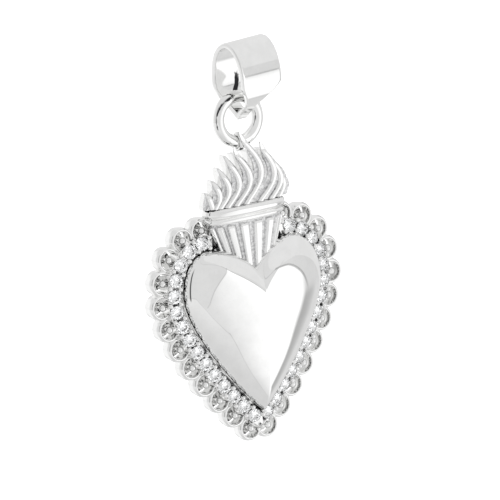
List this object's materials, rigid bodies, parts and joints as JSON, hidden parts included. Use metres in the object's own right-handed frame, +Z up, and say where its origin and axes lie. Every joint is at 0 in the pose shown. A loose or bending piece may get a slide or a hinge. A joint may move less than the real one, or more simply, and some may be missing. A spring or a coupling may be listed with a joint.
{
  "type": "heart pendant",
  "caption": "Domed flaming-heart pendant with a stone-set border and scalloped rim, hung from a jump ring and a folded strap bail.",
  "frame": {"origin": "inside top of the bail, at the middle of its strap, where a chain lies", "axes": "+Z up along the pendant's height, +Y to the back, towards the wearer, +X to the right seen from the front"},
  "size_m": [0.018, 0.0048, 0.032],
  "materials": {
    "polished_silver": "mirror polished sterling silver",
    "cast_silver": "cast silver, satin in its grooves and bright on its ridges",
    "zirconia": "clear faceted cubic zirconia"
  },
  "bodies": {
    "bail": {"bail": "polished_silver"},
    "jump_ring": {"jump_ring": "polished_silver"},
    "pendant": {"heart_dome": "polished_silver", "stone_rail": "polished_silver", "scalloped_rim": "polished_silver", "crown_basket": "cast_silver", "crown_band": "polished_silver", "flames": "cast_silver", "apex_loop": "polished_silver", "stone_left_01": "zirconia", "stone_left_02": "zirconia", "stone_left_03": "zirconia", "stone_left_04": "zirconia", "stone_left_05": "zirconia", "stone_left_06": "zirconia", "stone_left_07": "zirconia", "stone_left_08": "zirconia", "stone_left_09": "zirconia", "stone_left_10": "zirconia", "stone_left_11": "zirconia", "stone_left_12": "zirconia", "stone_left_13": "zirconia", "stone_left_14": "zirconia", "stone_left_15": "zirconia", "stone_right_01": "zirconia", "stone_right_02": "zirconia", "stone_right_03": "zirconia", "stone_right_04": "zirconia", "stone_right_05": "zirconia", "stone_right_06": "zirconia", "stone_right_07": "zirconia", "stone_right_08": "zirconia", "stone_right_09": "zirconia", "stone_right_10": "zirconia", "stone_right_11": "zirconia", "stone_right_12": "zirconia", "stone_right_13": "zirconia", "stone_right_14": "zirconia", "stone_right_15": "zirconia"}
  },
  "joints": [
    {"name": "ring_swing", "type": "hinge", "parent": "bail", "child": "jump_ring", "pos_m": [-0.00123, -0.00018, -0.00392], "axis": [1, 0, 0], "range_deg": [-25, 70]},
    {"name": "heart_swing", "type": "hinge", "parent": "jump_ring", "child": "pendant", "pos_m": [-0.00138, -0.00018, -0.00751], "axis": [1, 0, 0], "range_deg": [-65, 100]}
  ]
}
